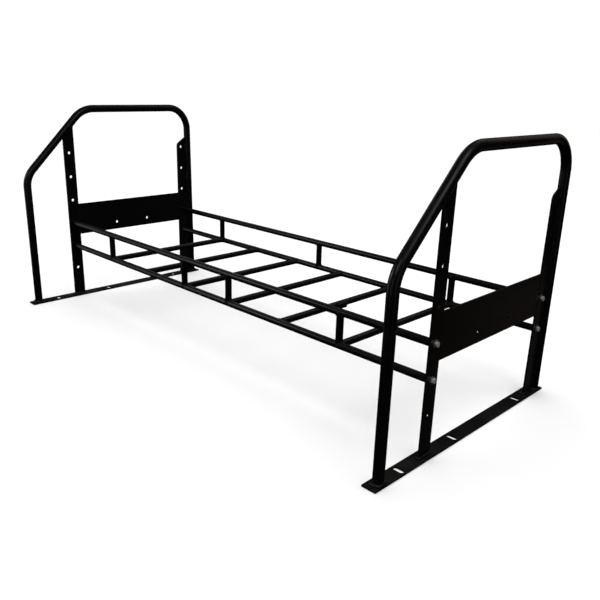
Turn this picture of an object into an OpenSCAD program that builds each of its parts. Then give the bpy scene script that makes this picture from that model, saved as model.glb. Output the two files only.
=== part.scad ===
// Tubular steel rack frame: two bent-tube end frames and a welded deck bolted between them.
// Millimetres. Z = 0 is the ground under the base bars, X runs along the deck,
// -Y is the sloped front, +Y is the straight back. The origin is the middle of the footprint.

/* [End frames] */
// distance between the middle planes of the two end frames
frame_span = 2133.6; // [1400:1:2600]
// distance from the front leg axis to the rear leg axis, taken at lean_z
leg_spread = 921; // [800:1:1100]
// lean of the rear leg in degrees, its foot further back than its top
rear_lean = 0.7239; // [0:0.0001:2]
// height above the ground where the leaning rear leg is leg_spread from the front leg
lean_z = 550; // [0:10:900]
// height of the axis of the top bar above the ground
top_bar_z = 919; // [880:1:1000]
// outside diameter of the hoop tube
hoop_od = 35; // [30:0.5:40]
// wall of the hoop tube
hoop_wall = 2.4; // [1.5:0.1:4]
// height above the ground where the axes of front leg and slope meet
slope_foot_z = 614; // [560:1:650]
// bend radius at the foot of the slope, on the tube axis
bend_front_r = 114; // [80:1:150]
// bend radius between slope and top bar, on the tube axis
bend_top_r = 140; // [80:1:180]
// bend radius between top bar and rear leg, on the tube axis
bend_rear_r = 114; // [80:1:150]

/* [Plates] */
// thickness of the flat bars and plates
plate_t = 6.35; // [3:0.05:8]
// width of the front upright
upright_w = 55.5; // [45:0.5:65]
// front upright: Y of its centre line
front_upright_y = -240.5; // [-260:0.5:-200]
// rear upright: Y of its hole line
rear_hole_y = 413.5; // [405:0.5:420]
// rear upright: Y of its front edge
rear_edge_y = 388; // [375:0.5:392]
// height above the ground of the lowest hole
first_hole_z = 142.9; // [120:0.1:170]
// distance from hole to hole
hole_pitch = 114.3; // [100:0.1:116]
// diameter of the upright and cross plate holes
hole_d = 13.5; // [10:0.1:18]
// height above the ground where the rear upright's front edge and top cut would meet
rear_top_z = 731.5; // [725:0.5:760]
// radius that rounds the corner between that edge and the top cut
rear_top_r = 25; // [5:1:30]
// rise of the rear upright's top cut
rear_top_rise = 36; // [10:1:60]
// bottom edge of the cross plate above the ground
cross_plate_z = 312.2; // [300:0.1:330]
// height of the cross plate
cross_plate_h = 152.4; // [140:0.1:156]
// height of the two cross plate holes above its bottom edge
cross_hole_rise = 37.3; // [20:0.1:60]
// distance between the two cross plate holes
cross_hole_gap = 182.4; // [100:0.1:300]

/* [Base bars] */
// width of the base bar
base_w = 50.8; // [50:0.1:70]
// how far the base bar runs past the leg axes at each end, leaving the lean out
base_over = 38; // [30:1:60]
// how far the base bar's centre line sits inboard of the hoop
base_inboard = 4; // [0:0.5:5]
// slot length across the bar, end to end
slot_len = 38; // [30:1:42]
// slot width along the bar
slot_w = 17.5; // [8:0.1:18]
// front slot: distance from the front leg axis
slot_1 = 101; // [70:1:150]
// middle slot: distance from the front leg axis
slot_2 = 382; // [300:1:500]
// rear slot: distance from the front leg axis
slot_3 = 794; // [700:1:820]

/* [Deck] */
// outside diameter of rails, cross tubes and posts
rail_od = 25.4; // [20:0.1:28]
// wall of rails, cross tubes and posts
rail_wall = 2.1; // [1.5:0.1:3.5]
// hole row, counted from the lowest, that holds the bottom rails
deck_row = 1; // [1:1:2]
// distance between neighbouring cross tubes
cross_tube_gap = 283.2; // [200:0.1:290]
// length of the saddle along its cross tube
saddle_len = 57; // [30:1:90]
// wall of the saddle
saddle_wall = 3.5; // [2:0.5:5]

/* [Hardware] */
// shank diameter of the deck bolts
bolt_d = 11.1; // [8:0.1:13]
// hex size of the bolt heads across the flats
bolt_af = 15.9; // [14:0.1:22]
// height of the bolt heads
bolt_head_h = 7.1; // [5:0.1:10]
// length of the bolt shank under the head
bolt_len = 38; // [25:1:60]
// outside diameter of the washers
washer_d = 27; // [24:0.5:32]
// thickness of the washers
washer_t = 2.4; // [1.5:0.1:4]
// length of the threaded plug in each rail end
plug_len = 32; // [20:1:60]

/* [Hidden] */
$fn = 96;
frame_x = frame_span / 2;
leg_y = leg_spread / 2;
hoop_r = hoop_od / 2;
hoop_bore = hoop_od - 2 * hoop_wall;
slope_run = top_bar_z - slope_foot_z;
bend_front_cut = bend_front_r * tan(22.5);
bend_top_cut = bend_top_r * tan(22.5);
slope_len = slope_run * sqrt(2);
bend_rear_turn = 90 - rear_lean;
bend_rear_cut = bend_rear_r * tan(bend_rear_turn / 2);
rear_foot_y = leg_y + lean_z * tan(rear_lean);
rear_corner_y = rear_foot_y - top_bar_z * tan(rear_lean);
front_hole_y = front_upright_y;
rear_upright_w = leg_y - rear_edge_y;
front_upright_back_y = front_upright_y + upright_w / 2;
cross_plate_mid_y = (front_upright_back_y + rear_edge_y) / 2;
low_rail_z = first_hole_z + deck_row * hole_pitch;
high_rail_z = low_rail_z + hole_pitch;
deck_mid_y = (front_hole_y + rear_hole_y) / 2;
rail_len = frame_span - plate_t;
rail_r = rail_od / 2;
rail_bore = rail_od - 2 * rail_wall;
cope_gap = 0.03;
bolt_seat_x = frame_x + plate_t / 2 + washer_t;
steel = [0.09, 0.09, 0.1];
zinc = [0.75, 0.76, 0.78];

// ---------- end frame parts, drawn for the right end in the plane X = 0 ----------

// straight stretch of the hoop tube along +Z; what follows it starts at its end
module hoop_straight(h) {
  rotate([0, 0, -90])
    difference() {
      cylinder(h = h, d = hoop_od);
      translate([0, 0, -1])
        cylinder(h = h + 2, d = hoop_bore);
    }
  translate([0, 0, h])
    children();
}

// bend of the hoop tube from +Z towards +Y; what follows it starts at its end
module hoop_bend(r, turn) {
  translate([0, r, 0])
    rotate([90, 0, -90]) {
      rotate_extrude(angle = turn)
        translate([r, 0])
          difference() {
            circle(d = hoop_od);
            circle(d = hoop_bore);
          }
      rotate([0, 0, turn])
        translate([r, 0, 0])
          rotate([-90, 0, 0])
            rotate([0, 0, 90])
              children();
    }
}

// last stretch of the hoop tube, h long on its axis, cut level with the top of the base bar
module hoop_foot(h) {
  difference() {
    rotate([0, 0, -90])
      difference() {
        cylinder(h = h + hoop_r, d = hoop_od);
        translate([0, 0, -1])
          cylinder(h = h + hoop_r + 2, d = hoop_bore);
      }
    translate([0, 0, h])
      rotate([-rear_lean, 0, 0])
        translate([-hoop_od, -hoop_od, 0])
          cube(2 * hoop_od);
  }
}

module hoop() {
  top_bar_len = rear_corner_y + leg_y - slope_run - bend_top_cut - bend_rear_cut;
  color(steel)
    translate([0, -leg_y, plate_t])
      hoop_straight(slope_foot_z - bend_front_cut - plate_t)
        hoop_bend(bend_front_r, 45)
          hoop_straight(slope_len - bend_front_cut - bend_top_cut)
            hoop_bend(bend_top_r, 45)
              hoop_straight(top_bar_len)
                hoop_bend(bend_rear_r, bend_rear_turn)
                  hoop_foot((top_bar_z - plate_t) / cos(rear_lean) - bend_rear_cut);
}

// the six holes of an upright, drilled along X
module upright_holes(y) {
  for (row = [0:5])
    translate([-plate_t, y, first_hole_z + row * hole_pitch])
      rotate([0, 90, 0])
        cylinder(h = 2 * plate_t, d = hole_d);
}

module front_upright() {
  front = front_upright_y - upright_w / 2;
  back = front_upright_back_y;
  slope_at_zero = slope_foot_z + leg_y;
  color(steel)
    difference() {
      translate([plate_t / 2, 0, 0])
        rotate([90, 0, -90])
          linear_extrude(height = plate_t)
            polygon([[-front, plate_t], [-back, plate_t], [-back, slope_at_zero + back],
                     [-front, slope_at_zero + front]]);
      upright_holes(front_hole_y);
      translate([0, -leg_y, slope_foot_z])
        rotate([-45, 0, 0])
          cylinder(h = slope_len, d = hoop_od);
    }
}

module rear_upright() {
  top_slope = atan(rear_top_rise / (rear_upright_w - hoop_r));
  round_cut = rear_top_r * tan((90 - top_slope) / 2);
  round_z = rear_top_z - round_cut;
  color(steel)
    difference() {
      union() {
        translate([plate_t / 2, 0, 0])
          rotate([90, 0, -90])
            linear_extrude(height = plate_t)
              polygon([[-rear_edge_y, plate_t], [-rear_foot_y, plate_t],
                       [-leg_y, lean_z],
                       [-leg_y, rear_top_z + rear_upright_w * tan(top_slope)],
                       [-rear_edge_y - round_cut * cos(top_slope),
                        rear_top_z + round_cut * sin(top_slope)],
                       [-rear_edge_y, round_z]]);
        translate([-plate_t / 2, rear_edge_y + rear_top_r, round_z])
          rotate([0, 90, 0])
            cylinder(h = plate_t, r = rear_top_r);
      }
      upright_holes(rear_hole_y);
      translate([0, rear_foot_y, 0])
        rotate([rear_lean, 0, 0])
          cylinder(h = top_bar_z, d = hoop_od);
    }
}

module cross_plate() {
  color(steel)
    difference() {
      translate([-plate_t / 2, front_upright_back_y, cross_plate_z])
        cube([plate_t, rear_edge_y - front_upright_back_y, cross_plate_h]);
      for (side = [-1, 1])
        translate([-plate_t, cross_plate_mid_y + side * cross_hole_gap / 2,
                   cross_plate_z + cross_hole_rise])
          rotate([0, 90, 0])
            cylinder(h = 2 * plate_t, d = hole_d);
    }
}

// slot through the base bar, long side across the bar
module base_slot(y) {
  reach = (slot_len - slot_w) / 2;
  translate([-reach, y - slot_w / 2, -1])
    cube([2 * reach, slot_w, plate_t + 2]);
  for (side = [-1, 1])
    translate([side * reach, y, -1])
      cylinder(h = plate_t + 2, d = slot_w);
}

module base_bar() {
  color(steel)
    translate([-base_inboard, 0, 0])
      difference() {
        translate([-base_w / 2, -leg_y - base_over, 0])
          cube([base_w, leg_spread + 2 * base_over, plate_t]);
        base_slot(slot_1 - leg_y);
        base_slot(slot_2 - leg_y);
        base_slot(slot_3 - leg_y);
      }
}

// places an end frame part at the right end, or mirrored at the left end
module at_right() {
  translate([frame_x, 0, 0])
    children();
}

module at_left() {
  mirror([1, 0, 0])
    at_right()
      children();
}

// ---------- deck ----------

module rail(y, z) {
  color(steel)
    translate([-rail_len / 2, y, z])
      rotate([0, 90, 0])
        difference() {
          cylinder(h = rail_len, d = rail_od);
          translate([0, 0, -1])
            cylinder(h = rail_len + 2, d = rail_bore);
        }
}

// round bar where a rail runs, used to cope the tubes that meet it with a hair of fit-up gap
module rail_envelope(x, y, z) {
  translate([x - rail_od, y, z])
    rotate([0, 90, 0])
      cylinder(h = 2 * rail_od, d = rail_od + 2 * cope_gap);
}

function cross_tube_x(n) = (n - 3.5) * cross_tube_gap;

module cross_tube(n) {
  x = cross_tube_x(n);
  color(steel)
    difference() {
      translate([x, front_hole_y, low_rail_z])
        rotate([-90, 0, 0])
          cylinder(h = rear_hole_y - front_hole_y, d = rail_od);
      translate([x, front_hole_y - 1, low_rail_z])
        rotate([-90, 0, 0])
          cylinder(h = rear_hole_y - front_hole_y + 2, d = rail_bore);
      rail_envelope(x, front_hole_y, low_rail_z);
      rail_envelope(x, rear_hole_y, low_rail_z);
    }
}

module post(x, y) {
  color(steel)
    difference() {
      translate([x, y, low_rail_z])
        cylinder(h = hole_pitch, d = rail_od);
      translate([x, y, low_rail_z - 1])
        cylinder(h = hole_pitch + 2, d = rail_bore);
      rail_envelope(x, y, low_rail_z);
      rail_envelope(x, y, high_rail_z);
    }
}

// half shell under the cross tube with a flat foot
module saddle() {
  shell_d = rail_od + 2 * saddle_wall;
  color(steel)
    translate([cross_tube_x(5), deck_mid_y - saddle_len / 2, low_rail_z])
      difference() {
        union() {
          rotate([-90, 0, 0])
            cylinder(h = saddle_len, d = shell_d);
          translate([-shell_d / 3, 0, -shell_d / 2 - 1])
            cube([2 * shell_d / 3, saddle_len, shell_d / 2]);
        }
        translate([0, -1, 0])
          rotate([-90, 0, 0])
            cylinder(h = saddle_len + 2, d = rail_od);
        translate([-shell_d, -1, rail_r / 3])
          cube([2 * shell_d, saddle_len + 2, shell_d]);
      }
}

// ---------- hardware, drawn along +X from X = 0 ----------

// repeats its children at the four rail ends of one end frame
module at_rail_ends() {
  for (y = [front_hole_y, rear_hole_y])
    for (z = [low_rail_z, high_rail_z])
      translate([0, y, z])
        children();
}

module rail_plugs() {
  color(zinc)
    at_rail_ends()
      translate([rail_len / 2 - plug_len, 0, 0])
        rotate([0, 90, 0])
          difference() {
            cylinder(h = plug_len, d = rail_bore);
            translate([0, 0, -1])
              cylinder(h = plug_len + 2, d = bolt_d);
          }
}

module bolts() {
  color(zinc)
    at_rail_ends()
      translate([bolt_seat_x, 0, 0])
        rotate([0, 90, 0]) {
          linear_extrude(height = bolt_head_h)
            circle(d = bolt_af / cos(30), $fn = 6);
          translate([0, 0, -bolt_len])
            cylinder(h = bolt_len, d = bolt_d);
        }
}

module washers() {
  color(zinc)
    at_rail_ends()
      translate([bolt_seat_x - washer_t, 0, 0])
        rotate([0, 90, 0])
          difference() {
            cylinder(h = washer_t, d = washer_d);
            translate([0, 0, -1])
              cylinder(h = washer_t + 2, d = bolt_d + 0.8);
          }
}

// ---------- nodes ----------

at_left() hoop();  // left_hoop
at_left() front_upright();  // left_front_upright
at_left() rear_upright();  // left_rear_upright
at_left() cross_plate();  // left_cross_plate
at_left() base_bar();  // left_base_bar
at_right() hoop();  // right_hoop
at_right() front_upright();  // right_front_upright
at_right() rear_upright();  // right_rear_upright
at_right() cross_plate();  // right_cross_plate
at_right() base_bar();  // right_base_bar
rail(front_hole_y, high_rail_z);  // front_top_rail
rail(front_hole_y, low_rail_z);  // front_bottom_rail
rail(rear_hole_y, high_rail_z);  // rear_top_rail
rail(rear_hole_y, low_rail_z);  // rear_bottom_rail
cross_tube(1);  // cross_tube_1
cross_tube(2);  // cross_tube_2
cross_tube(3);  // cross_tube_3
cross_tube(4);  // cross_tube_4
cross_tube(5);  // cross_tube_5
cross_tube(6);  // cross_tube_6
post(cross_tube_x(1), front_hole_y);  // front_post_1
post(cross_tube_x(3), front_hole_y);  // front_post_2
post(cross_tube_x(4), front_hole_y);  // front_post_3
post(cross_tube_x(6), front_hole_y);  // front_post_4
post(cross_tube_x(1), rear_hole_y);  // rear_post_1
post(0, rear_hole_y);  // rear_post_2
post(cross_tube_x(6), rear_hole_y);  // rear_post_3
saddle();
mirror([1, 0, 0]) rail_plugs();  // left_rail_plugs
rail_plugs();  // right_rail_plugs
mirror([1, 0, 0]) bolts();  // left_bolts
bolts();  // right_bolts
mirror([1, 0, 0]) washers();  // left_washers
washers();  // right_washers
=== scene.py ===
import math

import bmesh
import bpy
from mathutils import Matrix, Vector


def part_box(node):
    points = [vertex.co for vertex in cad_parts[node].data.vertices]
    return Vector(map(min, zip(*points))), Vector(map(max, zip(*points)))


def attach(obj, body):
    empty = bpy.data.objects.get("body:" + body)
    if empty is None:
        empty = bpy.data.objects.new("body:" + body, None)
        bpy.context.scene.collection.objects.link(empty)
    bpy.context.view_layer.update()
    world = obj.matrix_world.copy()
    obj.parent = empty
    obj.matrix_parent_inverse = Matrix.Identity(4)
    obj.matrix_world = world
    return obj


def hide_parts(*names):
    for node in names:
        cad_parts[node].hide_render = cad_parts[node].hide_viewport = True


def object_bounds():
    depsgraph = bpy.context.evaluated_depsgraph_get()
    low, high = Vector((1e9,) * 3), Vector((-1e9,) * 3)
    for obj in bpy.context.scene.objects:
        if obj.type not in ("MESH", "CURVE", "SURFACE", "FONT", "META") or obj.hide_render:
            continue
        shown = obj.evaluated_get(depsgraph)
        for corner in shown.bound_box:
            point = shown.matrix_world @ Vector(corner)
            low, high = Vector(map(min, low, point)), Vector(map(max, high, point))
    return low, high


# Looks of the tubular steel rack frame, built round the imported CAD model. Metres, Z up:
# X runs along the deck, -Y is the sloped front, +Y the straight back.

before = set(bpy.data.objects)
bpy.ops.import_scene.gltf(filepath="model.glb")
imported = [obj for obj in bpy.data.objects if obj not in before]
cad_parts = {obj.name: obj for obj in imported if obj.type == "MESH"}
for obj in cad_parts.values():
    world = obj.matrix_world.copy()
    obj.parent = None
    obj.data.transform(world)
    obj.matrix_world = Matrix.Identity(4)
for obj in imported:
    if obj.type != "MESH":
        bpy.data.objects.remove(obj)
cad_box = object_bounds()

ROOT = "root"
X, Y, Z = Vector((1, 0, 0)), Vector((0, 1, 0)), Vector((0, 0, 1))
SIDES = {"left": -1, "right": 1}
FACES = (-1, 1)             # the two faces of a flat bar, towards -X and towards +X
TINY = 1e-9                 # guards a comparison and a division against rounding

# ---------- values that repeat part.scad ----------
SLOPE_FOOT_Z = 0.614        # height where the axes of front leg and slope meet
LEAN_Z = 0.550              # height where the rear leg is as far back as the front leg is forward
REAR_LEAN = math.radians(0.7239)  # lean of the rear leg, its foot further back
SHANK_R = 0.00555           # radius of the bolts' shanks
SADDLE_RIM = 1 / 3          # height of the saddle's rims over the tube's axis, in tube radii

# ---------- weld beads ----------
MEASURING_STEPS = 96        # straight steps that measure the length of a run
WELD_PITCH = 0.55           # distance from ripple to ripple as a share of the weld leg
WELD_RIPPLES = 3            # least number of ripples in a run
WELD_STEPS = 6              # mesh rings per ripple
WELD_ACROSS = 6             # mesh faces across a bead
WELD_CROWN = 0.20           # crown height as a share of the bead's width
WELD_VALLEY = 0.62          # height between two ripples as a share of the crown
WELD_SINK = 0.0002          # how deep a bead's toes sit in the steel
WELD_END = 0.45             # leg at the ends of an open run as a share of the full leg
RIPPLE_BOW = 0.5            # how far a ripple bows along the bead at its crown, in ripples
RIPPLE_POWER = 0.7          # below 1 the ripples are full and the valleys narrow
WANDER = ((0.06, 3, 1.0), (0.04, 8, 0.0))  # waves in the leg: share of it, waves per run, phase

LEG_FOOT = 0.0080           # weld leg length at the hoop feet
LEG_BAR_FOOT = 0.0062       # at the uprights' feet
LEG_PLATE = 0.0046          # along and between the flat bars
LEG_TEE = 0.0038            # on the deck tubes
LEG_SADDLE = 0.0030         # on the saddle's rims
EDGE_MARGIN = 0.0008        # how far a toe stays from a bar's long edge
TEE_ROUNDING = 0.015        # softens the notch of the seam at the two sides of a tee
BUTT_ROOT = 0.001           # how deep the root of a butt seam lies
BUTT_HALF_WIDTH = 0.75 * LEG_PLATE
SADDLE_INSET = 0.004        # how far the beads stop from the saddle's ends
STITCHES = 5                # welds between the rear upright and the rear leg, on each face
STITCH_LENGTH = 0.045
FIRST_STITCH = 0.03         # where the lowest stitch starts above the base bar
LAST_STITCH = 0.034         # where the highest stitch ends below the upright's top

# ---------- bolts ----------
BOLT_SAMPLES = 72           # mesh columns round a bolt
CHAMFER_SHARE = 0.95        # chamfer circle as a share of the size across the flats
CHAMFER_SLANT = math.tan(math.radians(30))
UNDER_HEAD_SLANT = 0.25     # rise of the head's underside from the washer face to the corners
WASHER_FACE = 0.0005        # height of the washer face under the head
TOP_RING = 0.45             # mesh ring on the head's flat top as a share of the chamfer circle
TIP_CHAMFER = 0.0012        # at the end of the shank
BOLT_TURNS = {"right": (8, 41, 23, 52), "left": (17, 33, 3, 46)}  # where each hex stopped, degrees
BOLT_RAILS = ("front_bottom_rail", "front_top_rail", "rear_bottom_rail", "rear_top_rail")

# ---------- rounded edges ----------
EDGE_WIDTH = {"upright": 0.0006, "plate": 0.0006, "bar": 0.0007, "washers": 0.0004,
              "saddle": 0.0005}     # by a word in the CAD node's name
EDGE_ANGLE = 35             # least turn of an edge that gets rounded, degrees
BOLT_EDGE_WIDTH = 0.00035
BOLT_EDGE_ANGLE = 25
EDGE_SEGMENTS = 2
JOIN_DISTANCE = 0.00001     # corners of the mesh closer than this are one corner
WORN_WIDTH = 0.0012         # how far from a sharp edge the coat can be rubbed thin

# ---------- colours ----------
COAT_COOL, COAT_WARM = (0.0038, 0.0037, 0.0040), (0.0058, 0.0053, 0.0051)
DUST = (0.016, 0.016, 0.0145)
SCUFFED = (0.085, 0.080, 0.074)
RUBBED = (0.040, 0.040, 0.042)
ZINC_DULL, ZINC_BRIGHT = (0.66, 0.67, 0.69), (0.98, 0.98, 0.96)
WASHER_DARK, WASHER_LIGHT = (0.10, 0.10, 0.105), (0.22, 0.22, 0.22)
STEEL_DARK, STEEL_LIGHT = (0.30, 0.29, 0.28), (0.46, 0.45, 0.44)
FLOOR = (0.93, 0.93, 0.93)

# ---------- light ----------
BOX_DISTANCE = 4.2          # from the middle of the object to each soft box
WHITE = (1.0, 1.0, 1.0)
WARM = (1.0, 0.80, 0.64)
COOL = (0.86, 0.95, 1.0)

# azimuth from +X towards +Y and elevation in degrees, side, radiance and colour
SOFT_BOXES = {
    "key": (225, 22, 1.4, 1.4, WHITE),                # long highlight on rails and slopes
    "left_low": (210, 3, 2.8, 0.32, WHITE),           # glow on the legs of the left frame
    "front_low": (285, 3, 2.0, 0.2, WHITE),           # lower edge light of the front rails
    "right_low": (350, 3, 2.0, 0.12, COOL),           # on the right frame's hoop
    "front_high": (300, 38, 1.8, 0.7, WHITE),         # crown of the front rails
    "right_high": (355, 50, 2.0, 0.85, WHITE),        # bright line down the right slope
    "back_left": (150, 32, 2.0, 0.45, WHITE),         # base bars and top bars
    "back": (75, 30, 2.4, 0.15, WARM),                # upper side of the right base bar
    "back_high": (80, 50, 1.4, 0.35, COOL),           # cross tubes
    "back_low": (76, 3, 2.0, 0.15, WARM),             # mirrored in the right cross plate
    "floor_right": (60, -25, 2.0, 0.035, WARM),       # mirrored in all that faces right
    "floor_left": (150, -25, 2.0, 0.035, COOL),       # mirrored in the left frame
}
SKY_STRENGTH = 3.5
SKY_ANGLE = math.radians(100)       # width of the sun that stands for the sky, for soft shade
SKY_SHINES = Vector((0.1, -0.15, -1))
WORLD_STRENGTH = 1.05       # just above 1, so that the backdrop shows as plain white
FLOOR_REACH = 60            # from the floor's middle to its edges

# ---------- camera ----------
CAMERA_PLACE = Vector((2.01987, -1.77427, 1.06838))
CAMERA_LOOKS = Vector((-0.66751, 0.67138, -0.32200))
CAMERA_ROLL = 0.027949      # radians about the line of sight
CAMERA_LENS = 39.73         # millimetres
CAMERA_SENSOR = 36
CAMERA_SHIFT = (0.0106, 0.0119)
CAMERA_CLIP = (0.05, 200)


# ---------- measures taken from the frame ----------

def span(node):
    """Lowest corner, highest corner and middle of a CAD node."""
    low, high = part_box(node)
    return low, high, (low + high) / 2


def extent(node, axis):
    """Length of a CAD node along axis 0, 1 or 2."""
    low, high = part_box(node)
    return high[axis] - low[axis]


HOOP_R = extent("right_hoop", 0) / 2
FRAME_X = span("right_hoop")[2].x
LEG_Y = -span("right_hoop")[0].y - HOOP_R
BAR_TOP = span("right_base_bar")[1].z
HALF_PLATE = extent("right_front_upright", 0) / 2
RAIL_R = extent("front_top_rail", 2) / 2


def frame_middle(side_name):
    """Point on the ground in the middle plane of an end frame."""
    return X * SIDES[side_name] * FRAME_X


def rear_leg(side_name, z):
    """Point on the axis of a rear leg."""
    return Vector((SIDES[side_name] * FRAME_X, LEG_Y + (LEAN_Z - z) * math.tan(REAR_LEAN), z))


def nodes_named(start):
    """Names of the CAD nodes that start so, in order."""
    return sorted(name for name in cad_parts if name.startswith(start))


# ---------- materials ----------

class Shading:
    """The nodes of one material, which all end in one shader."""

    def __init__(self, name):
        self.material = bpy.data.materials.new(name)
        self.material.use_nodes = True
        self.nodes = self.material.node_tree.nodes
        self.links = self.material.node_tree.links
        self.nodes.clear()
        output = self.nodes.new("ShaderNodeOutputMaterial")
        shader = self.nodes.new("ShaderNodeBsdfPrincipled")
        self.links.new(shader.outputs["BSDF"], output.inputs["Surface"])
        self.shader = shader.inputs

    def add(self, kind, **properties):
        """A new node with these properties."""
        node = self.nodes.new(kind)
        for key, value in properties.items():
            setattr(node, key, value)
        return node

    def feed(self, socket, value):
        """Links another node's output to a socket, or sets a plain value on it."""
        if isinstance(value, bpy.types.NodeSocket):
            self.links.new(value, socket)
        else:
            socket.default_value = value

    def place(self):
        """Where a point lies on the object, in metres."""
        return self.add("ShaderNodeTexCoord").outputs["Object"]

    def stretched(self, where, scale):
        """Places scaled along each axis, for streaks and rings."""
        node = self.add("ShaderNodeMapping")
        self.feed(node.inputs["Scale"], scale)
        self.feed(node.inputs["Vector"], where)
        return node.outputs["Vector"]

    def noise(self, where, scale, detail=2.0, roughness=0.5):
        """Cloudy noise round 0.5."""
        node = self.add("ShaderNodeTexNoise")
        self.feed(node.inputs["Vector"], where)
        self.feed(node.inputs["Scale"], scale)
        self.feed(node.inputs["Detail"], detail)
        self.feed(node.inputs["Roughness"], roughness)
        return node.outputs["Fac"]

    def remap(self, value, source, target=(0.0, 1.0)):
        """Moves the source range of a value to the target range and clamps it there."""
        node = self.add("ShaderNodeMapRange", clamp=True)
        self.feed(node.inputs["Value"], value)
        self.feed(node.inputs["From Min"], source[0])
        self.feed(node.inputs["From Max"], source[1])
        self.feed(node.inputs["To Min"], target[0])
        self.feed(node.inputs["To Max"], target[1])
        return node.outputs["Result"]

    def calculate(self, operation, a, b):
        """One step of arithmetic on two values."""
        node = self.add("ShaderNodeMath", operation=operation)
        self.feed(node.inputs[0], a)
        self.feed(node.inputs[1], b)
        return node.outputs[0]

    def times(self, a, b):
        """The product of two values."""
        return self.calculate("MULTIPLY", a, b)

    def plus(self, a, b):
        """The sum of two values."""
        return self.calculate("ADD", a, b)

    def mix(self, factor, a, b):
        """From colour a at factor 0 to colour b at factor 1."""
        node = self.add("ShaderNodeMix", data_type="RGBA")
        self.feed(node.inputs["Factor"], factor)
        for name, colour in (("A", a), ("B", b)):
            socket = [s for s in node.inputs if s.name == name and s.type == "RGBA"][0]
            self.feed(socket, (*colour, 1) if isinstance(colour, tuple) else colour)
        return [s for s in node.outputs if s.type == "RGBA"][0]

    def relief(self, height, strength, depth):
        """Bumps the shader's normal, with a depth in metres."""
        node = self.add("ShaderNodeBump")
        self.feed(node.inputs["Strength"], strength)
        self.feed(node.inputs["Distance"], depth)
        self.feed(node.inputs["Height"], height)
        self.feed(self.shader["Normal"], node.outputs[0])


def edge_wear(coat, place, normal):
    """Edges rubbed thin in patches: where the rounded normal leaves the real one."""
    rounded = coat.add("ShaderNodeBevel", samples=4)
    coat.feed(rounded.inputs["Radius"], WORN_WIDTH)
    alike = coat.add("ShaderNodeVectorMath", operation="DOT_PRODUCT")
    coat.feed(alike.inputs[0], rounded.outputs[0])
    coat.feed(alike.inputs[1], normal)
    edges = coat.remap(alike.outputs["Value"], (0.985, 0.90))
    return coat.times(edges, coat.remap(coat.noise(place, scale=60, detail=3), (0.45, 0.65)))


def powder_coat():
    """Satin black powder coat: orange peel, dust on what faces up, rubbed edges, scuffs."""
    coat = Shading("black_powder_coat")
    place = coat.place()
    normal = coat.add("ShaderNodeNewGeometry").outputs["Normal"]
    split = coat.add("ShaderNodeSeparateXYZ")
    coat.feed(split.inputs[0], normal)
    faces_up = coat.remap(split.outputs["Z"], (0.55, 1.0))

    # dust settles in loose patches on the upper surfaces
    clouds = coat.noise(place, scale=9, detail=4, roughness=0.6)
    dust = coat.times(faces_up, coat.remap(clouds, (0.42, 0.66), (0.15, 1.0)))

    # scuffs: thin streaks in patches, drawn out along Y over the top bars and base bars
    streaks = coat.noise(coat.stretched(place, (260, 22, 260)), scale=1.0, detail=3, roughness=0.6)
    handled = coat.remap(coat.noise(place, scale=4.5, detail=2), (0.5, 0.62))
    scuffs = coat.times(coat.times(coat.remap(streaks, (0.66, 0.72)), handled), faces_up)

    worn = edge_wear(coat, place, normal)

    # colour: a slow change of tone, then each trace of use by its share
    tone = coat.remap(coat.noise(place, scale=2.2, detail=2), (0.35, 0.65))
    colour = coat.mix(tone, COAT_COOL, COAT_WARM)
    for factor, share, over in ((dust, 0.22, DUST), (scuffs, 0.6, SCUFFED), (worn, 0.55, RUBBED)):
        colour = coat.mix(coat.times(factor, share), colour, over)
    coat.feed(coat.shader["Base Color"], colour)

    # roughness: smudges, and more where dust or scuffs lie
    smudges = coat.noise(place, scale=14, detail=4, roughness=0.65)
    rough = coat.remap(smudges, (0.3, 0.7), (0.20, 0.33))
    for factor, share in ((dust, 0.12), (scuffs, 0.15)):
        rough = coat.plus(rough, coat.times(factor, share))
    coat.feed(coat.shader["Roughness"], rough)

    # relief: orange peel with a finer grain on it
    peel = coat.noise(place, scale=420, detail=2, roughness=0.4)
    grain = coat.noise(place, scale=1900, detail=1)
    coat.relief(coat.plus(peel, coat.times(grain, 0.25)), strength=0.4, depth=0.00018)
    coat.feed(coat.shader["IOR"], 1.5)
    coat.feed(coat.shader["Coat Weight"], 0.15)
    coat.feed(coat.shader["Coat Roughness"], 0.2)
    return coat.material


def zinc_plate(name, dull, bright):
    """Zinc on the bolts and washers, clouded from a dull to a bright tone."""
    zinc = Shading(name)
    place = zinc.place()
    clouds = zinc.noise(place, scale=190, detail=4, roughness=0.65)
    clouds = zinc.remap(clouds, (0.32, 0.68))
    zinc.feed(zinc.shader["Base Color"], zinc.mix(clouds, dull, bright))
    zinc.feed(zinc.shader["Roughness"], zinc.remap(clouds, (0.0, 1.0), (0.36, 0.22)))
    zinc.relief(zinc.noise(place, scale=1500, detail=2), strength=0.35, depth=0.00006)
    zinc.feed(zinc.shader["Metallic"], 0.5)
    return zinc.material


def turned_steel():
    """Bare steel of the threaded plugs, with fine turning rings round X."""
    steel = Shading("turned_steel")
    rings = steel.noise(steel.stretched(steel.place(), (2600, 20, 20)), scale=1.0, detail=2)
    steel.feed(steel.shader["Base Color"], steel.mix(rings, STEEL_DARK, STEEL_LIGHT))
    steel.feed(steel.shader["Roughness"], steel.remap(rings, (0.3, 0.7), (0.28, 0.45)))
    steel.relief(rings, strength=0.4, depth=0.00005)
    steel.feed(steel.shader["Metallic"], 1.0)
    return steel.material


def floor_paint():
    """Pale matt floor without a mirror image."""
    paint = Shading("pale_floor")
    paint.feed(paint.shader["Base Color"], (*FLOOR, 1))
    paint.feed(paint.shader["Roughness"], 0.9)
    paint.feed(paint.shader["Specular IOR Level"], 0.0)
    return paint.material


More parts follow.
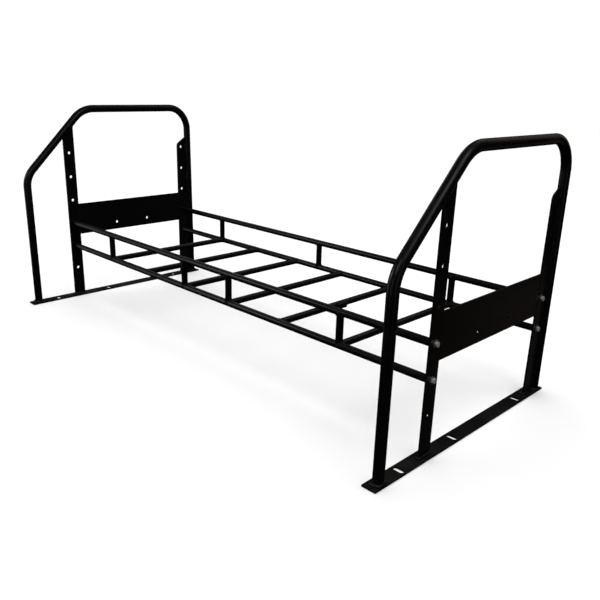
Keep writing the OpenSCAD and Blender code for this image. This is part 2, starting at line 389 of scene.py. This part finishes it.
MATERIALS = {"black_frame": powder_coat(), "plain_steel": turned_steel(),
             "zinc_hardware": zinc_plate("zinc_plate", ZINC_DULL, ZINC_BRIGHT)}
# the washers: the same zinc with the same roughness, only darker in colour
DARKER_ZINC = zinc_plate("darker_zinc", WASHER_DARK, WASHER_LIGHT)


# ---------- pieces ----------

def finish_piece(name, bm, slot):
    """Turns a bmesh into a smooth-shaded piece that rides on the frame."""
    bmesh.ops.recalc_face_normals(bm, faces=bm.faces)
    mesh = bpy.data.meshes.new(name)
    bm.to_mesh(mesh)
    bm.free()
    piece = bpy.data.objects.new(name, mesh)
    bpy.context.scene.collection.objects.link(piece)
    mesh.materials.append(MATERIALS[slot])
    mesh.shade_smooth()
    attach(piece, ROOT)
    return piece


def join_rings(bm, rings, closed):
    """Faces between neighbouring rings of vertices; an open row of rings gets end caps."""
    for a, b in zip(rings, rings[1:] + ([rings[0]] if closed else [])):
        for j in range(len(a)):
            k = (j + 1) % len(a)
            bm.faces.new((a[j], a[k], b[k], b[j]))
    if not closed:
        bm.faces.new(rings[0])
        bm.faces.new(rings[-1])


def round_edges(piece, width, angle):
    """Rounds the sharp edges with modifiers; the mesh itself stays as it is."""
    weld = piece.modifiers.new("join", "WELD")
    weld.merge_threshold = JOIN_DISTANCE
    bevel = piece.modifiers.new("edges", "BEVEL")
    bevel.width = width
    bevel.segments = EDGE_SEGMENTS
    bevel.limit_method = "ANGLE"
    bevel.angle_limit = math.radians(angle)
    bevel.harden_normals = True
    bevel.use_clamp_overlap = True


# ---------- runs of weld ----------
# A run is a function from 0..1 along the bead to a station: the inner corner of the joint, the
# two toes of the bead, and the outward normals of the two surfaces that the toes lie on.

def tube_foot(centre, leg, bar):
    """Round a hoop foot on a flat bar; the toe stops short of the bar's long edges."""
    low, high, _ = span(bar)

    def station(t):
        out = Vector((math.cos(math.tau * t), math.sin(math.tau * t), 0))
        corner = centre + out * HOOP_R
        toe = corner + out * leg
        toe.x = min(max(toe.x, low.x + EDGE_MARGIN), high.x - EDGE_MARGIN)
        return corner, toe, corner + Z * leg, Z, out
    return station


def bar_foot(corners, outwards, leg):
    """Round a flat bar that stands on another: its corners in order, and for each edge between
    two of them the way that it faces."""
    keys = [(corner, out) for a, b, out in zip(corners, corners[1:], outwards)
            for corner in (a, b)]
    if corners[0] == corners[-1]:
        keys.append(keys[0])
    toes = [corner + out * leg for corner, out in keys]
    marks = [0.0]
    for a, b in zip(toes, toes[1:]):
        marks.append(marks[-1] + (b - a).length)

    def station(t):
        at = t * marks[-1]
        i = min(max(k for k, m in enumerate(marks) if m <= at + TINY), len(keys) - 2)
        share = min(1.0, (at - marks[i]) / max(marks[i + 1] - marks[i], TINY))
        corner = keys[i][0].lerp(keys[i + 1][0], share)
        out = keys[i][1].lerp(keys[i + 1][1], share).normalized()
        return corner, corner + out * leg, corner + Z * leg, Z, out
    return station


def tee(centre, branch, run, leg):
    """Where a deck tube along branch meets an equal tube along run, axes crossing at centre."""
    across = branch.cross(run)

    def station(t):
        c, s = math.cos(math.tau * t), math.sin(math.tau * t)
        out = run * c + across * s
        corner = centre + out * RAIL_R + branch * RAIL_R * math.sqrt(c * c + TEE_ROUNDING)
        turn = math.asin(max(-1.0, min(1.0, s))) + s * leg / RAIL_R
        around = across * math.sin(turn) + branch * math.cos(turn)
        toe = centre + run * c * (RAIL_R + leg) + around * RAIL_R
        return corner, corner + branch * leg, toe, out, around
    return station


def plate_on_tube(start, end, away, face, leg):
    """Along a hoop tube from start to end on its axis, where a flat bar's edge meets it; away
    points from the axis to the bar."""
    lean = math.asin(HALF_PLATE / HOOP_R)

    def station(t):
        axis = start.lerp(end, t)
        corner = axis + away * HOOP_R * math.cos(lean) + X * face * HALF_PLATE
        turn = lean + leg / HOOP_R
        around = away * math.cos(turn) + X * face * math.sin(turn)
        return corner, corner + away * leg, axis + around * HOOP_R, X * face, around
    return station


def plate_end(corner, edge, down, along, leg):
    """Across the thickness of a flat bar where its narrow edge meets a tube: edge is that edge's
    outward normal, down runs away from the tube on it, along runs away from it on the tube."""
    def station(t):
        at = corner + X * HALF_PLATE * (2 * t - 1)
        return at, at + down * leg, at + along * leg, edge, edge
    return station


def butt(start, end, face):
    """Flat crown over a butt joint between two plates, running up Z on one face."""
    def station(t):
        line = start.lerp(end, t)
        return (line - X * face * BUTT_ROOT, line - Y * BUTT_HALF_WIDTH,
                line + Y * BUTT_HALF_WIDTH, X * face, X * face)
    return station


def rim_of_saddle(start, end, face, leg):
    """Along the upper rim of the saddle, on the tube's side towards -X or +X."""
    lean = math.asin(SADDLE_RIM)

    def station(t):
        axis = start.lerp(end, t)
        corner = axis + (X * face * math.cos(lean) + Z * math.sin(lean)) * RAIL_R
        turn = lean + leg / RAIL_R
        around = X * face * math.cos(turn) + Z * math.sin(turn)
        return corner, axis + around * RAIL_R, corner + X * face * leg, around, Z
    return station


# ---------- weld beads ----------

def bead_points(station, t, ripples, size):
    """Points across a bead at t, its legs scaled by size: toe to toe, then the sunk corner."""
    corner, toe_a, toe_b, normal_a, normal_b = station(t)
    toe_a = corner + (toe_a - corner) * size - normal_a * WELD_SINK
    toe_b = corner + (toe_b - corner) * size - normal_b * WELD_SINK
    out = (normal_a + normal_b).normalized()
    crown = (toe_a - toe_b).length * WELD_CROWN
    points = []
    for j in range(WELD_ACROSS + 1):
        u = j / WELD_ACROSS
        hump = 4 * u * (1 - u)
        ripple = abs(math.sin(math.pi * (t * ripples + RIPPLE_BOW * hump))) ** RIPPLE_POWER
        full = WELD_VALLEY + (1 - WELD_VALLEY) * ripple
        points.append(toe_a.lerp(toe_b, u) + out * hump * crown * full)
    points.append(corner - out * 2 * WELD_SINK)
    return points


def lay_bead(bm, station, closed, leg):
    """Sweeps a rippled, convex bead along a run, closed into itself or tapered at its ends."""
    line = [station(i / MEASURING_STEPS)[1] for i in range(MEASURING_STEPS + 1)]
    length = sum((b - a).length for a, b in zip(line, line[1:]))
    ripples = max(WELD_RIPPLES, round(length / (leg * WELD_PITCH)))
    steps = ripples * WELD_STEPS
    rings = []
    for i in range(steps if closed else steps + 1):
        t = i / steps
        size = 1
        for share, waves, phase in WANDER:
            size += share * math.sin(math.tau * waves * t + phase)
        if not closed:
            to_end = min(1.0, min(t, 1 - t) * length / leg)
            size *= WELD_END + (1 - WELD_END) * math.sin(to_end * math.pi / 2)
        rings.append([bm.verts.new(p) for p in bead_points(station, t, ripples, size)])
    join_rings(bm, rings, closed)


def weld_piece(name, leg, loops=(), lines=()):
    """One piece of weld beads: loops close into themselves, lines have two ends."""
    bm = bmesh.new()
    for station in loops:
        lay_bead(bm, station, True, leg)
    for station in lines:
        lay_bead(bm, station, False, leg)
    finish_piece(name, bm, "black_frame")


# ---------- welds of the end frames ----------

def hoop_foot_welds(side_name):
    """Round both feet of the hoop."""
    front = frame_middle(side_name) - Y * LEG_Y + Z * BAR_TOP
    feet = (front, rear_leg(side_name, BAR_TOP))
    weld_piece(side_name + "_hoop_foot_welds", LEG_FOOT,
               loops=[tube_foot(foot, LEG_FOOT, side_name + "_base_bar") for foot in feet])


def upright_foot_welds(side_name):
    """Round the front upright's foot, and round the rear upright's as far as the hoop."""
    front_low, front_high, _ = span(side_name + "_front_upright")
    rear_low, _, _ = span(side_name + "_rear_upright")
    hoop = rear_leg(side_name, BAR_TOP).y - HOOP_R

    def corner(face, y):
        return frame_middle(side_name) + X * face * HALF_PLATE + Y * y + Z * BAR_TOP

    front = [corner(-1, front_low.y), corner(1, front_low.y), corner(1, front_high.y),
             corner(-1, front_high.y), corner(-1, front_low.y)]
    rear = [corner(1, hoop), corner(1, rear_low.y), corner(-1, rear_low.y), corner(-1, hoop)]
    weld_piece(side_name + "_upright_foot_welds", LEG_BAR_FOOT,
               loops=[bar_foot(front, (-Y, X, Y, -X), LEG_BAR_FOOT)],
               lines=[bar_foot(rear, (X, -Y, -X), LEG_BAR_FOOT)])


def upright_top_welds(side_name):
    """Round the front upright's mitred top, under the slope of the hoop."""
    low, high, _ = span(side_name + "_front_upright")
    slope = (Y + Z).normalized()
    below = (Y - Z).normalized()
    foot = frame_middle(side_name) - Y * LEG_Y + Z * SLOPE_FOOT_Z
    lower, upper = [((y + LEG_Y) - below.y * HOOP_R) * math.sqrt(2) for y in (low.y, high.y)]
    lines = [plate_on_tube(foot + slope * lower, foot + slope * upper, below, face, LEG_PLATE)
             for face in FACES]
    for reached, edge, along in ((lower, -Y, -slope), (upper, Y, slope)):
        corner = foot + slope * reached + below * HOOP_R
        lines.append(plate_end(corner, edge, -Z, along, LEG_PLATE))
    weld_piece(side_name + "_upright_top_welds", LEG_PLATE, lines=lines)


def stitch_heights(low, high):
    """Ends of evenly spread stitches, the first from low and the last up to high."""
    gap = (high - low - STITCH_LENGTH) / (STITCHES - 1)
    return [(low + gap * i, low + gap * i + STITCH_LENGTH) for i in range(STITCHES)]


def upright_stitch_welds(side_name):
    """Short beads between the rear upright and the rear leg."""
    top = span(side_name + "_rear_upright")[1].z
    stitches = stitch_heights(BAR_TOP + FIRST_STITCH, top - LAST_STITCH)
    weld_piece(side_name + "_upright_stitch_welds", LEG_PLATE,
               lines=[plate_on_tube(rear_leg(side_name, low), rear_leg(side_name, high), -Y, face,
                                    LEG_PLATE)
                      for face in FACES for low, high in stitches])


def cross_plate_welds(side_name):
    """Seams between the cross plate's ends and the uprights, on both faces."""
    low, high, _ = span(side_name + "_cross_plate")
    lines = []
    for face in FACES:
        for y in (low.y, high.y):
            line = frame_middle(side_name) + X * face * HALF_PLATE + Y * y
            lines.append(butt(line + Z * low.z, line + Z * high.z, face))
    weld_piece(side_name + "_cross_plate_welds", LEG_PLATE, lines=lines)


# ---------- welds of the deck ----------

def tees(tubes, ends):
    """Round both ends of each tube; ends are pairs of a rail and the way the tube leaves it."""
    loops = []
    for node in tubes:
        tube = span(node)[2]
        for rail, branch in ends:
            axis = span(rail)[2]
            loops.append(tee(Vector((tube.x, axis.y, axis.z)), branch, X, LEG_TEE))
    return loops


def post_welds(row):
    """Round the ends of the posts between the two front or the two rear rails."""
    ends = ((row + "_bottom_rail", Z), (row + "_top_rail", -Z))
    weld_piece(row + "_post_welds", LEG_TEE, loops=tees(nodes_named(row + "_post_"), ends))


def cross_tube_welds():
    """Round the ends of the cross tubes between the bottom rails."""
    ends = (("front_bottom_rail", Y), ("rear_bottom_rail", -Y))
    weld_piece("cross_tube_welds", LEG_TEE, loops=tees(nodes_named("cross_tube_"), ends))


def saddle_welds():
    """Along both upper rims of the saddle."""
    low, high, mid = span("saddle")
    axis = Vector((mid.x, 0, span("cross_tube_5")[2].z))
    start = axis + Y * (low.y + SADDLE_INSET)
    end = axis + Y * (high.y - SADDLE_INSET)
    weld_piece("saddle_welds", LEG_SADDLE,
               lines=[rim_of_saddle(start, end, face, LEG_SADDLE) for face in FACES])


# ---------- bolts ----------

def bolt_outline(corner_r, circle, head, shank):
    """(radius, height) down one mesh column of a bolt, from the shank's tip to the head's top;
    corner_r is the hexagon's radius there, and height 0 is the seat of the head."""
    past = corner_r - circle
    return [
        (SHANK_R - TIP_CHAMFER, -shank),
        (SHANK_R, -shank + TIP_CHAMFER),
        (SHANK_R, 0.0),
        (circle, 0.0),
        (circle, WASHER_FACE),
        (corner_r, WASHER_FACE + past * UNDER_HEAD_SLANT),
        (corner_r, head - past * CHAMFER_SLANT),
        (circle, head),
        (circle * TOP_RING, head),
    ]


def bolt(bm, seat, side, flats, head, shank, turn):
    """Hex bolt along X with its head towards side: chamfered corners and a washer face."""
    half = flats / 2

    def hex_r(angle):
        return half / math.cos((angle - turn) % (math.pi / 3) - math.pi / 6)

    angles = [math.tau * i / BOLT_SAMPLES + turn for i in range(BOLT_SAMPLES)]
    columns = [bolt_outline(hex_r(a), half * CHAMFER_SHARE, head, shank) for a in angles]
    rings = []
    for level in zip(*columns):
        rings.append([bm.verts.new(seat + X * side * height
                                   + (Y * math.cos(a) + Z * math.sin(a)) * radius)
                      for a, (radius, height) in zip(angles, level)])
    join_rings(bm, rings, False)


def bolts(side_name):
    """The four bolts of one end frame, in place of their CAD node."""
    side = SIDES[side_name]
    low, high, _ = span(side_name + "_bolts")
    washer_low, washer_high, _ = span(side_name + "_washers")
    seat_x = washer_high.x if side > 0 else washer_low.x
    head = (high.x - seat_x) if side > 0 else (seat_x - low.x)
    shank = (high.x - low.x) - head
    corner_r = high.z - span("front_top_rail")[2].z     # the CAD heads stand on a corner
    flats = 2 * corner_r * math.cos(math.pi / 6)
    bm = bmesh.new()
    for rail, turn in zip(BOLT_RAILS, BOLT_TURNS[side_name]):
        axis = span(rail)[2]
        seat = Vector((seat_x, axis.y, axis.z))
        bolt(bm, seat, side, flats, head, shank, math.radians(turn))
    piece = finish_piece(side_name + "_hex_bolts", bm, "zinc_hardware")
    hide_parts(side_name + "_bolts")
    round_edges(piece, BOLT_EDGE_WIDTH, BOLT_EDGE_ANGLE)


# ---------- carried-over CAD nodes ----------

def dress_nodes():
    """Gives each CAD node its material and rounds the sharp edges of bars, washers and saddle."""
    for name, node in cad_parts.items():
        slot = node.material_slots[0].material.name.split(".")[0]
        for material_slot in node.material_slots:
            material_slot.material = DARKER_ZINC if "washers" in name else MATERIALS[slot]
        for word, width in EDGE_WIDTH.items():
            if word in name:
                round_edges(node, width, EDGE_ANGLE)


# ---------- floor, light and camera ----------

def place_in_scene(name, data):
    """A new object in the scene."""
    holder = bpy.data.objects.new(name, data)
    bpy.context.scene.collection.objects.link(holder)
    return holder


def build_floor():
    """A wide pale floor that leaves no light or mirror image on the object."""
    bm = bmesh.new()
    bmesh.ops.create_grid(bm, x_segments=2, y_segments=2, size=FLOOR_REACH)
    mesh = bpy.data.meshes.new("floor")
    bm.to_mesh(mesh)
    bm.free()
    floor = place_in_scene("floor", mesh)
    mesh.materials.append(floor_paint())
    floor.visible_glossy = False
    floor.visible_diffuse = False
    floor.visible_shadow = False     # the soft boxes reach below it


def aim(lamp, direction):
    """Turns a lamp so that it shines in a direction."""
    lamp.rotation_mode = "QUATERNION"
    lamp.rotation_quaternion = direction.to_track_quat("-Z", "Y")


def soft_box(name, azimuth, elevation, side, radiance, colour):
    """A square light that faces the middle of the object."""
    light = bpy.data.lights.new(name, "AREA")
    light.size = side
    light.energy = radiance * math.pi * side ** 2
    light.color = colour
    lamp = place_in_scene(name, light)
    turn, rise = math.radians(azimuth), math.radians(elevation)
    away = Vector((math.cos(turn) * math.cos(rise), math.sin(turn) * math.cos(rise),
                   math.sin(rise)))
    lamp.location = (cad_box[0] + cad_box[1]) / 2 + away * BOX_DISTANCE
    aim(lamp, -away)
    lamp.visible_camera = False


def build_sky():
    """A wide sun from above for the floor's soft shade, and a white backdrop."""
    sky = bpy.data.lights.new("sky_dome", "SUN")
    sky.energy = SKY_STRENGTH
    sky.angle = SKY_ANGLE
    lamp = place_in_scene("sky_dome", sky)
    aim(lamp, SKY_SHINES)
    lamp.visible_glossy = False

    world = bpy.data.worlds.new("studio")
    bpy.context.scene.world = world
    world.use_nodes = True
    backdrop = world.node_tree.nodes["Background"]
    backdrop.inputs["Color"].default_value = (*WHITE, 1)
    backdrop.inputs["Strength"].default_value = WORLD_STRENGTH
    world.cycles_visibility.diffuse = False
    world.cycles_visibility.glossy = False


def build_light():
    """The soft boxes, the sky and the backdrop."""
    for name, values in SOFT_BOXES.items():
        soft_box(name, *values)
    build_sky()


def build_camera():
    """The camera at the photograph's viewing angle."""
    camera = bpy.data.cameras.new("camera")
    camera.sensor_width = CAMERA_SENSOR
    camera.lens = CAMERA_LENS
    camera.shift_x, camera.shift_y = CAMERA_SHIFT
    camera.clip_start, camera.clip_end = CAMERA_CLIP
    holder = place_in_scene("camera", camera)
    looks = CAMERA_LOOKS.normalized()
    level = looks.cross(Z).normalized()
    upright = level.cross(looks)
    right = level * math.cos(CAMERA_ROLL) + upright * math.sin(CAMERA_ROLL)
    top = upright * math.cos(CAMERA_ROLL) - level * math.sin(CAMERA_ROLL)
    turned = Matrix((right, top, -looks)).transposed().to_4x4()
    holder.matrix_world = Matrix.Translation(CAMERA_PLACE) @ turned
    bpy.context.scene.camera = holder


build_camera()
build_light()
build_floor()
dress_nodes()
for which in SIDES:
    hoop_foot_welds(which)
    upright_foot_welds(which)
    upright_top_welds(which)
    upright_stitch_welds(which)
    cross_plate_welds(which)
    bolts(which)
for row_name in ("front", "rear"):
    post_welds(row_name)
cross_tube_welds()
saddle_welds()
bpy.context.scene.view_settings.view_transform = "Standard"
